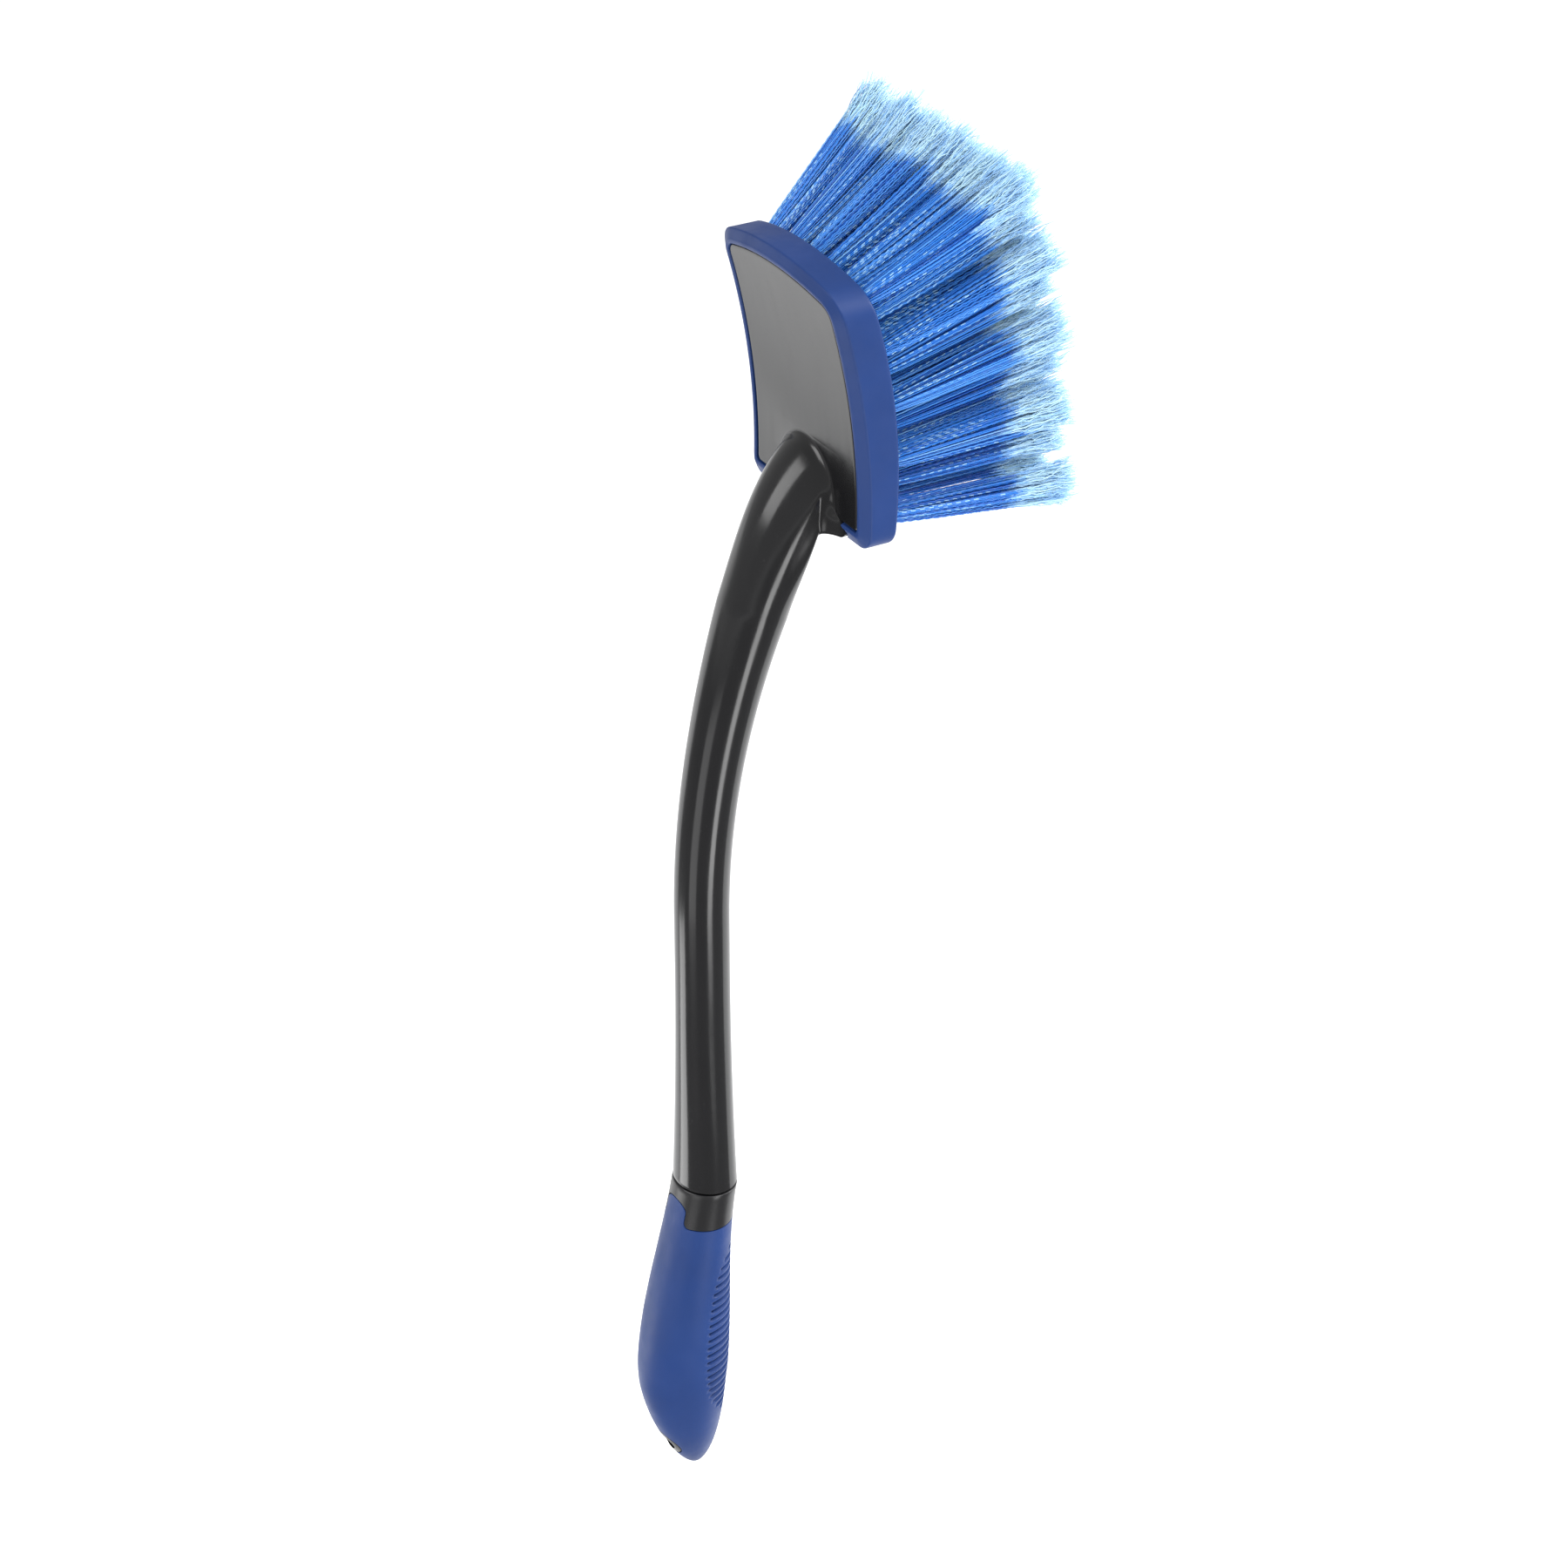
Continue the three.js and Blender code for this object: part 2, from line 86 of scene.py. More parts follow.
def smoothstep(x, low, high):
    t = np.clip((np.asarray(x, float) - low) / (high - low), 0, 1)
    return t * t * (3 - 2 * t)


# ---- Meshes from rings ----
def mesh_object(name, points_mm, faces):
    mesh = bpy.data.meshes.new(name)
    mesh.from_pydata((np.asarray(points_mm) * 0.001).tolist(), [], faces)
    mesh.validate()
    made = bpy.data.objects.new(name, mesh)
    bpy.context.scene.collection.objects.link(made)
    return made


def loft(name, rings, closed=False):
    """Closed solid through rings of equally many points.

    Point i and point -1 - i of a ring are a level pair, which the end caps join."""
    rings = [np.asarray(r, float) for r in rings]
    sides = len(rings[0])
    faces = []
    last_ring = len(rings) if closed else len(rings) - 1
    for r in range(last_ring):
        here, there = r * sides, ((r + 1) % len(rings)) * sides
        for i in range(sides):
            j = (i + 1) % sides
            faces.append((here + i, here + j, there + j, there + i))
    if not closed:
        end = (len(rings) - 1) * sides
        for i in range(sides // 2 - 1):
            a, b, c, d = i, i + 1, sides - 2 - i, sides - 1 - i
            faces.append((a, d, c, b))
            faces.append((end + a, end + b, end + c, end + d))
    return mesh_object(name, np.concatenate(rings), faces)


def oval_ring(centre, forward, reach, half_width, sides=SIDES):
    turn = ring_turns(sides)
    across = np.outer(np.sin(turn) * half_width, [0, 1, 0])
    return np.asarray(centre) + across + np.outer(np.cos(turn) * reach, forward)


def rod_along_x(name, radius, from_x, to_x, z, sides=64):
    rings = [oval_ring((x, 0, z), (0, 0, -1), radius, radius, sides) for x in (from_x, to_x)]
    return loft(name, rings)


def combine(target, tool, operation):
    """target becomes its union, intersection or difference with tool, which is used up."""
    cut = target.modifiers.new("combine", "BOOLEAN")
    cut.object = tool
    cut.operation = operation
    cut.solver = "MANIFOLD"
    graph = bpy.context.evaluated_depsgraph_get()
    made = bpy.data.meshes.new_from_object(target.evaluated_get(graph))
    target.modifiers.clear()
    target.data = made
    bpy.data.objects.remove(tool)
    return target


def smooth(obj, sharp_degrees=34):
    obj.data.shade_smooth()
    obj.data.set_sharp_from_angle(angle=math.radians(sharp_degrees))
    return obj


# ---- Grip ----
def oval_axes(visible, ratio):
    """Half axes of an oval, width over depth in the given ratio.

    Seen from 30 degrees off its side, its half width is visible."""
    reach = visible / np.sqrt(0.75 + 0.25 * ratio * ratio)
    return reach, reach * ratio


def grip_half(z, inset):
    if z > PALM_Z:
        up = (z - PALM_Z) / (SEAM_Z - PALM_Z)
        return SEAM_HALF + (PALM_HALF - SEAM_HALF) / 2 * (1 + math.cos(math.pi * up)) - inset
    down = min((PALM_Z - z) / (PALM_Z - TIP_Z - inset), 1)
    return (PALM_HALF - inset) * (1 - down**1.7) ** 0.62


def grip_centre_x(z):
    """The grip's middle: furthest back at the belly, forward to the shaft above it and to the tip below."""
    if z > BELLY_Z:
        return BELLY_X + (SHAFT_X - BELLY_X) * ((z - BELLY_Z) / (SEAM_Z - BELLY_Z)) ** 1.5
    return BELLY_X + TIP_DRIFT * ((BELLY_Z - z) / (BELLY_Z - TIP_Z)) ** 1.5


def grip_ratio(z):
    return 0.94 + 0.26 * float(smoothstep(z, PALM_Z, SEAM_Z))


def groove_depths(z):
    """How deep the finger pad's grooves lie at this height, at each angle of a ring."""
    away = z - PAD_CENTRE_Z
    if abs(away) >= PAD_HALF_HEIGHT:
        return np.zeros(SIDES)
    count = math.floor(2 * PAD_HALF_HEIGHT / GROOVE_PITCH)
    place = away / GROOVE_PITCH + (count - 1) / 2
    if not -0.5 < place < count - 0.5:
        return np.zeros(SIDES)
    off = abs(place - round(place)) * GROOVE_PITCH
    across = 1 - smoothstep(off, GROOVE_WIDTH / 2 - GROOVE_WALL, GROOVE_WIDTH / 2 + GROOVE_WALL)
    depth = GROOVE_DEEPENING * GROOVE_DEPTH * across
    turn = ring_turns(SIDES)
    from_front = np.minimum(turn, 2 * np.pi - turn)
    nearest = (round(place) - (count - 1) / 2) * GROOVE_PITCH
    limit = PAD_HALF_ANGLE * (1 - abs(nearest / PAD_HALF_HEIGHT) ** 3) ** (1 / 3)
    return depth * (1 - smoothstep(from_front, limit - PAD_EDGE_ANGLE, limit + PAD_EDGE_ANGLE))


def grip_ring(z, inset, grooved=False):
    depths = groove_depths(z) if grooved else np.zeros(SIDES)
    reach, half = oval_axes(grip_half(z, inset), grip_ratio(z))
    turn = ring_turns(SIDES)
    x = grip_centre_x(z) + (reach - depths) * np.cos(turn)
    y = (half - depths) * np.sin(turn)
    return np.stack([x, y, np.full(SIDES, float(z))], axis=1)


def grip_solid(name, inset, top_z, grooved=False, top_round=0.0):
    depth = PALM_Z - TIP_Z - inset
    heights = [PALM_Z - depth * share for share in END_SHARES]
    step = GROOVED_RING_STEP if grooved else RING_STEP
    low, high = heights[-1], top_z - top_round
    count = math.ceil((high - low) / step)
    heights += [low + (high - low) * i / count for i in range(1, count + 1)]
    rings = [grip_ring(z, inset, grooved) for z in heights]
    for share in (0.3, 0.7, 1.0) if top_round else ():
        turn = share * math.pi / 2
        z = high + top_round * math.sin(turn)
        rings.append(grip_ring(z, inset + top_round * (1 - math.cos(turn))))
    return loft(name, rings)


def collar_zone(gap):
    """Everything above the sleeve's top edge, except the sleeve's tongue at the back."""
    half, foot, top = TONGUE_HALF - gap, COLLAR_Z - gap, TONGUE_Z - gap
    slab = [(30, 30), (-30, 30), (-30, -30), (30, -30)]
    zone = loft("zone", [[(x, y, z) for x, y in slab] for z in (foot, foot + FAR)])
    right = [(half + TONGUE_FLARE, foot - 5)]
    for angle in np.linspace(0, math.pi / 2, 7):
        y = half + TONGUE_FLARE * (1 - math.sin(angle))
        right.append((y, foot + TONGUE_FLARE_RISE * (1 - math.cos(angle))))
    for angle in np.linspace(0, 1.53, 16):
        right.append((half * math.cos(angle), top - TONGUE_ROUNDING * (1 - math.sin(angle))))
    right = np.array(right)
    outline = np.concatenate([right, (right * [-1, 1])[::-1]])
    tongue = loft("tongue", [np.column_stack([np.full(len(outline), x), outline]) for x in (-29.0, 4.0)])
    return combine(zone, tongue, "DIFFERENCE")


def socket(name, clearance, end_z, top_z):
    """The oval spigot under the seam, or with some clearance the hole that it goes into."""
    rings = []
    for share in np.linspace(0, 1, 8):
        z = end_z + (top_z - end_z) * share
        centre = (grip_centre_x(min(z, SEAM_Z)), 0, z)
        rings.append(oval_ring(centre, (1, 0, 0), SPIGOT_REACH + clearance, SPIGOT_HALF + clearance))
    return loft(name, rings)


def make_grip_core():
    core = grip_solid("grip_core_skin", 0, SEAM_Z - GAP, top_round=0.45)
    bare = combine(collar_zone(0), rod_along_x("rod", EYELET_RADIUS, -FAR, FAR, EYE_Z), "UNION")
    combine(core, bare, "INTERSECT")
    combine(core, grip_solid("inner", SLEEVE_THICKNESS, SEAM_Z - GAP - 0.5), "UNION")
    combine(core, socket("socket", GAP, SPIGOT_END_Z - GAP, SEAM_Z + 5), "DIFFERENCE")
    combine(core, rod_along_x("rod", EYE_RADIUS, -FAR, FAR, EYE_Z), "DIFFERENCE")
    combine(core, rod_along_x("rod", LAND_RADIUS, EYE_LAND_X, FAR, EYE_Z), "DIFFERENCE")
    return smooth(core)


def make_grip_sleeve():
    sleeve = grip_solid("grip_sleeve_skin", 0, SEAM_Z - GAP, grooved=True)
    combine(sleeve, grip_solid("inner", SLEEVE_THICKNESS - GAP, SEAM_Z + 5), "DIFFERENCE")
    combine(sleeve, collar_zone(GAP), "DIFFERENCE")
    combine(sleeve, rod_along_x("rod", EYELET_RADIUS + GAP, -FAR, FAR, EYE_Z), "DIFFERENCE")
    combine(sleeve, rod_along_x("rod", LAND_RADIUS, EYE_LAND_X, FAR, EYE_Z), "DIFFERENCE")
    return smooth(sleeve, 50)


# ---- Head ----
def edge_x(z):
    """The rim's outer back edge, which curves backward toward the top of the head."""
    up = z - HEAD_BOTTOM_Z
    return EDGE_X + EDGE_SLOPE * up - EDGE_CURVE * up * up


def front_x(z):
    """The bristle side of the head."""
    up = z - HEAD_BOTTOM_Z
    return edge_x(z) + HEAD_DEPTH + DEPTH_SLOPE * up - DEPTH_CURVE * up * up


def lip_x(z):
    return edge_x(z) - BUMPER_RISE


def panel_x(z):
    return lip_x(z) + PANEL_RECESS


def shoulder_x(z):
    return edge_x(z) + SHOULDER


def arc(y, z, radius, start, stop, steps):
    angle = np.linspace(start, stop, steps + 1)
    return np.stack([y + radius * np.cos(angle), z + radius * np.sin(angle)], axis=1)


def head_outline(inset):
    """The head seen from behind, drawn in by inset: a flat foot, straight sides and an arched top."""
    half = HEAD_HALF - inset
    low, high = max(LOW_CORNER - inset, 1.5), max(HIGH_CORNER - inset, 3)
    top_edge = lambda y: HEAD_TOP_Z - inset - TOP_ARCH * (y / HEAD_HALF) ** 2
    slope = 2 * TOP_ARCH * (half - high) / HEAD_HALF**2
    turn = math.pi / 2 - math.atan(slope)
    top_y = half - high + high * math.cos(turn)
    high_z = top_edge(top_y) - high * math.sin(turn)
    low_z = HEAD_BOTTOM_Z + inset + low
    foot_y = np.linspace(0.5, half - low - 1, 12)
    foot = np.stack([foot_y, np.full(12, HEAD_BOTTOM_Z + inset)], axis=1)
    side_z = np.linspace(low_z, high_z, 42)[1:-1]
    side = np.stack([np.full(40, half), side_z], axis=1)
    top_ys = top_y * np.linspace(0.97, 0.02, 26)
    top = np.stack([top_ys, top_edge(top_ys)], axis=1)
    right = np.concatenate([
        foot,
        arc(half - low, low_z, low, -math.pi / 2, 0, 10),
        side,
        arc(half - high, high_z, high, 0, turn, 12),
        top,
    ])
    return np.concatenate([right, (right * [-1, 1])[::-1]])


def head_layer(inset, x_at):
    outline = head_outline(inset)
    return np.column_stack([x_at(outline[:, 1]), outline])


def head_core():
    """The black plate inside the rim, from the recessed back panel to the bristle side."""
    inset = CHAMFER_WIDTH + LIP_WIDTH + GAP
    layers = [head_layer(inset + more, panel_x) for more in (9, 3, 1.2, 0.55)]
    for more, back in ((0.28, 0.05), (0.08, 0.2), (0, 0.5)):
        layers.append(head_layer(inset + more, lambda z, b=back: panel_x(z) + b))
    layers.append(head_layer(inset, lambda z: shoulder_x(z) + GAP))
    layers.append(head_layer(BUMPER_WALL + GAP, lambda z: shoulder_x(z) + GAP))
    layers.append(head_layer(BUMPER_WALL + GAP, lambda z: front_x(z) - FRONT_ROUND))
    return loft("core", layers)


def bumper_section():
    """The rim's section as pairs of inset and place along x: lip, chamfer, wall and front edge."""
    lip = CHAMFER_WIDTH + LIP_WIDTH
    back = [
        (lip, shoulder_x),
        (lip, lambda z: lip_x(z) + 0.45),
        (lip - 0.1, lambda z: lip_x(z) + 0.16),
        (lip - 0.35, lambda z: lip_x(z) + 0.02),
        (lip - 0.8, lambda z: lip_x(z) - 0.02),
        (lip - 1.25, lambda z: lip_x(z) + 0.03),
        (lip - 1.55, lambda z: lip_x(z) + 0.17),
        (lip - 1.75, lambda z: lip_x(z) + 0.31),
        (lip - 2.05, lambda z: lip_x(z) + 0.48),
        (0.62, lambda z: edge_x(z) - 0.31),
        (0.34, lambda z: edge_x(z) - 0.14),
        (0.18, lambda z: edge_x(z) - 0.01),
        (0.05, lambda z: edge_x(z) + 0.17),
        (0, lambda z: edge_x(z) + 0.38),
        (0, lambda z: edge_x(z) + 0.75),
    ]
    front = [
        (0, lambda z: front_x(z) - FRONT_ROUND - 0.6),
        (0, lambda z: front_x(z) - FRONT_ROUND),
        (0.1, lambda z: front_x(z) - 0.32),
        (0.32, lambda z: front_x(z) - 0.1),
        (0.7, front_x),
        (1.0, front_x),
        (BUMPER_WALL - 0.3, front_x),
        (BUMPER_WALL - 0.08, lambda z: front_x(z) - 0.08),
        (BUMPER_WALL, lambda z: front_x(z) - 0.3),
        (BUMPER_WALL, shoulder_x),
    ]
    return back + front


def make_bumper():
    rings = [head_layer(inset, x_at) for inset, x_at in bumper_section()]
    bumper = loft("bumper_rim_skin", rings, closed=True)
    combine(bumper, neck_and_shaft("neck", GAP), "DIFFERENCE")
    return smooth(bumper)


# ---- Shaft and neck ----
def shaft_x(z):
    return SHAFT_X + max(z - BEND_START_Z, 0) ** 2 / (2 * BEND_RADIUS)


def shaft_tangent(z):
    along = np.array([max(z - BEND_START_Z, 0) / BEND_RADIUS, 0, 1])
    return along / np.linalg.norm(along)


def shaft_ring(z, grow):
    up = z - WAIST_Z
    flare = GRIP_END_FLARE * up**2 if up < 0 else HEAD_END_FLARE * up**3
    seam_share = 1 - float(smoothstep(z, SEAM_Z, SEAM_Z + 60))
    reach, half = oval_axes(WAIST_HALF + flare + grow, 1.05 + 0.15 * seam_share)
    along = shaft_tangent(z)
    return oval_ring((shaft_x(z), 0, z), (along[2], 0, -along[0]), reach, half)


def neck_outline(grow):
    """Where the neck meets the head, seen from behind: round at the top, squarer and wider at the foot."""
    turn = ring_turns(SIDES)
    y, z = np.sin(turn), -np.cos(turn)
    foot = z < 0
    power = np.where(foot, 0.4, 1.0)
    widening = 1 + FOOT_WIDENING * np.maximum(-z, 0)
    wide = np.sign(y) * np.abs(y) ** power * (NECK_HALF * widening + grow)
    tall = np.where(foot, -(np.abs(z) ** power) * (NECK_DOWN + grow), z * (NECK_UP + grow))
    return np.stack([wide, NECK_CENTRE_Z + tall], axis=1)


def hermite(start, leave, end, arrive, t):
    """Points at share t of smooth curves that leave start and arrive at end along the given tangents."""
    t2, t3 = t * t, t * t * t
    return (
        start * (2 * t3 - 3 * t2 + 1)
        + leave * (t3 - 2 * t2 + t)
        + end * (3 * t2 - 2 * t3)
        + arrive * (t3 - t2)
    )


def neck_rings(grow):
    """From the shaft to a ring just off the panel, then a fillet that lies down on the panel."""
    start = shaft_ring(NECK_START_Z, grow)
    outline = neck_outline(grow)
    y, z = outline[:, 0], outline[:, 1]
    out = np.stack([np.zeros(SIDES), y, z - NECK_CENTRE_Z], axis=1)
    out /= np.linalg.norm(out, axis=1, keepdims=True)
    foot = smoothstep(-out[:, 2], 0.1, 0.7)
    spread = NECK_FILLET + FOOT_SPREAD * foot
    end = np.stack([panel_x(z) - NECK_FILLET - grow, y, z], axis=1)
    lying_z = z + np.maximum(out[:, 2], 0) * spread + FOOT_RISE * foot
    lying = np.stack([panel_x(lying_z) - grow + 0.02, y + out[:, 1] * spread, lying_z], axis=1)
    low = ((1 + np.cos(ring_turns(SIDES))) / 2)[:, None]
    arrive = (1 - low) * np.array([0.75, 0, 0.66]) + low * np.array([0.25, 0, 0.97])
    arrive /= np.linalg.norm(arrive, axis=1, keepdims=True)
    leave = shaft_tangent(NECK_START_Z)
    span = np.linalg.norm(end - start, axis=1, keepdims=True)
    rings = [hermite(start, leave * span, end, arrive * span, t) for t in np.linspace(0, 1, 31)[1:]]
    reach = np.linalg.norm(lying - end, axis=1, keepdims=True)
    flat = (out + foot[:, None] * [0, 0, 0.9]) * reach * 1.25
    into = arrive * reach * 0.9
    rings += [hermite(end, into, lying, flat, t) for t in np.linspace(0, 1, 15)[1:]]
    rings.append(rings[-1] + [NECK_ROOT + 2 * grow, 0, 0])
    return rings


def neck_and_shaft(name, grow):
    rings = []
    for drop, inset in ((0, 0.5), (0.15, 0.2), (0.5, 0)):
        ring = shaft_ring(SEAM_Z, grow - inset)
        rings.append(ring + [0, 0, drop])
    for z in np.linspace(SEAM_Z + 1.5, NECK_START_Z, 110):
        rings.append(shaft_ring(z, grow))
    return loft(name, rings + neck_rings(grow))


def tuft_layout():
    """Name, root and direction of every tuft, in staggered rows that fan out upward and sideways."""
    tufts = []
    widest = (TUFT_COLUMNS - 1) / 2 * TUFT_PITCH_Y
    for row in range(TUFT_ROWS):
        count = TUFT_COLUMNS - row % 2
        up = row / (TUFT_ROWS - 1)
        z = FIRST_ROW_Z + row * TUFT_PITCH_Z
        lift = math.radians(2.5 + 43 * up - 15 * up * up)
        for column in range(count):
            y = (column - (count - 1) / 2) * TUFT_PITCH_Y
            splay = math.radians(11 + 6 * up) * (y / widest)
            root = np.array([front_x(z) - FRONT_ROUND, y, z])
            flat = math.cos(lift)
            direction = np.array([flat * math.cos(splay), flat * math.sin(splay), math.sin(lift)])
            tufts.append((f"row{row + 1}_{column + 1}", root, direction))
    return tufts


def tuft_axes(direction):
    """Two directions across a tuft: level to its side, and up."""
    side = np.cross([0, 0, 1], direction)
    side /= np.linalg.norm(side)
    return side, np.cross(direction, side)


def holes(tufts):
    """One mesh of all the blind holes, ready to be cut out of the head."""
    sides = 24
    points, faces = [], []
    turn = ring_turns(sides)
    for _, root, direction in tufts:
        side, up = tuft_axes(direction)
        ring = np.outer(np.sin(turn), side) - np.outer(np.cos(turn), up)
        start = len(points) * sides
        for along, radius in ((-HOLE_DEPTH, HOLE_RADIUS), (9, HOLE_RADIUS)):
            points.append(root + direction * along + ring * radius)
        for i in range(sides):
            j = (i + 1) % sides
            faces.append((start + i, start + j, start + sides + j, start + sides + i))
        faces.append(tuple(start + i for i in reversed(range(sides))))
        faces.append(tuple(start + sides + i for i in range(sides)))
    return mesh_object("holes", np.concatenate(points), faces)


def make_handle(tufts):
    handle = neck_and_shaft("handle_moulding_skin", 0)
    combine(handle, head_core(), "UNION")
    combine(handle, socket("spigot", 0, SPIGOT_END_Z, SEAM_Z + 4), "UNION")
    combine(handle, holes(tufts), "DIFFERENCE")
    return smooth(handle)


# ---- Bristles ----
SEED = 4711
# Places in the list of bristle materials: four body tones, then the paler tone painted on crimp crests as
# their highlight, then the hairs' four tones.
PAINTED_GLINT, TIP_START = 4, 5
FILAMENTS, FILAMENT_RADIUS, FILAMENT_STEPS = 112, 0.2, 36
WISPS, WISP_PULL = 7, 0.26
ROOT_RADIUS, END_RADIUS, SPREAD_POWER = 2.1, 6.0, 0.62
DYED_SHARE, TOP_LEAN = 0.7, 0.045
GOLDEN_ANGLE = 2.39996
FLAG_HAIRS, HAIR_RADIUS, HAIR_THINNING, HAIR_STEPS = 3, 0.18, 0.04, 11


def tubes(centres, radii, side, up, sides):
    """Open tubes along centre lines (tube, point, xyz): points, faces, and each face's step and tube."""
    count, steps = centres.shape[:2]
    turn = ring_turns(sides)
    ring = np.outer(np.sin(turn), side) - np.outer(np.cos(turn), up)
    points = centres[:, :, None, :] + radii[:, :, None, None] * ring
    tube, step, i = np.meshgrid(np.arange(count), np.arange(steps - 1), np.arange(sides), indexing="ij")
    j = (i + 1) % sides
    here = (tube * steps + step) * sides
    quads = np.stack([here + i, here + j, here + sides + j, here + sides + i], axis=-1)
    return points.reshape(-1, 3), quads.reshape(-1, 4), step.reshape(-1), tube.reshape(-1)


def cap_faces(count, steps, sides):
    """The end faces of such tubes."""
    start = np.arange(count)[:, None] * steps * sides
    first = start + np.arange(sides)[::-1]
    last = start + (steps - 1) * sides + np.arange(sides)
    return first, last


class Bundle:
    """Collects tubes of one tuft into one mesh, with a material slot for each face."""

    def __init__(self):
        self.points, self.loops, self.sizes, self.slots = [], [], [], []
        self.offset = 0

    def add(self, centres, radii, side, up, sides, slot_of):
        points, quads, step, tube = tubes(centres, radii, side, up, sides)
        first, last = cap_faces(centres.shape[0], centres.shape[1], sides)
        ends = np.arange(centres.shape[0])
        self.points.append(points)
        self._faces(quads, slot_of(tube, step))
        self._faces(first, slot_of(ends, np.zeros_like(ends)))
        self._faces(last, slot_of(ends, np.full_like(ends, centres.shape[1] - 2)))
        self.offset += len(points)

    def _faces(self, faces, slots):
        self.loops.append((faces + self.offset).reshape(-1))
        self.sizes.append(np.full(len(faces), faces.shape[1]))
        self.slots.append(slots)

    def build(self, name):
        points = np.concatenate(self.points) * 0.001
        loops, sizes = np.concatenate(self.loops), np.concatenate(self.sizes)
        mesh = bpy.data.meshes.new(name)
        mesh.vertices.add(len(points))
        mesh.vertices.foreach_set("co", points.astype(np.float32).ravel())
        mesh.loops.add(len(loops))
        mesh.loops.foreach_set("vertex_index", loops.astype(np.int32))
        mesh.polygons.add(len(sizes))
        starts = np.concatenate([[0], np.cumsum(sizes)[:-1]])
        mesh.polygons.foreach_set("loop_start", starts.astype(np.int32))
        for material in bristle_materials:
            mesh.materials.append(material)
        mesh.polygons.foreach_set("material_index", np.concatenate(self.slots).astype(np.int32))
        mesh.update(calc_edges=True)
        mesh.shade_smooth()
        made = bpy.data.objects.new(name, mesh)
        bpy.context.scene.collection.objects.link(made)
        return made


def disc_points(rng, count, jitter):
    """Evenly scattered points of the unit disc."""
    place = np.arange(count) + 0.5
    radius = np.sqrt(place / count)
    turn = place * GOLDEN_ANGLE + rng.uniform(0, 2 * np.pi)
    spots = np.stack([radius * np.cos(turn), radius * np.sin(turn)], axis=1)
    return spots + rng.normal(0, jitter, spots.shape)


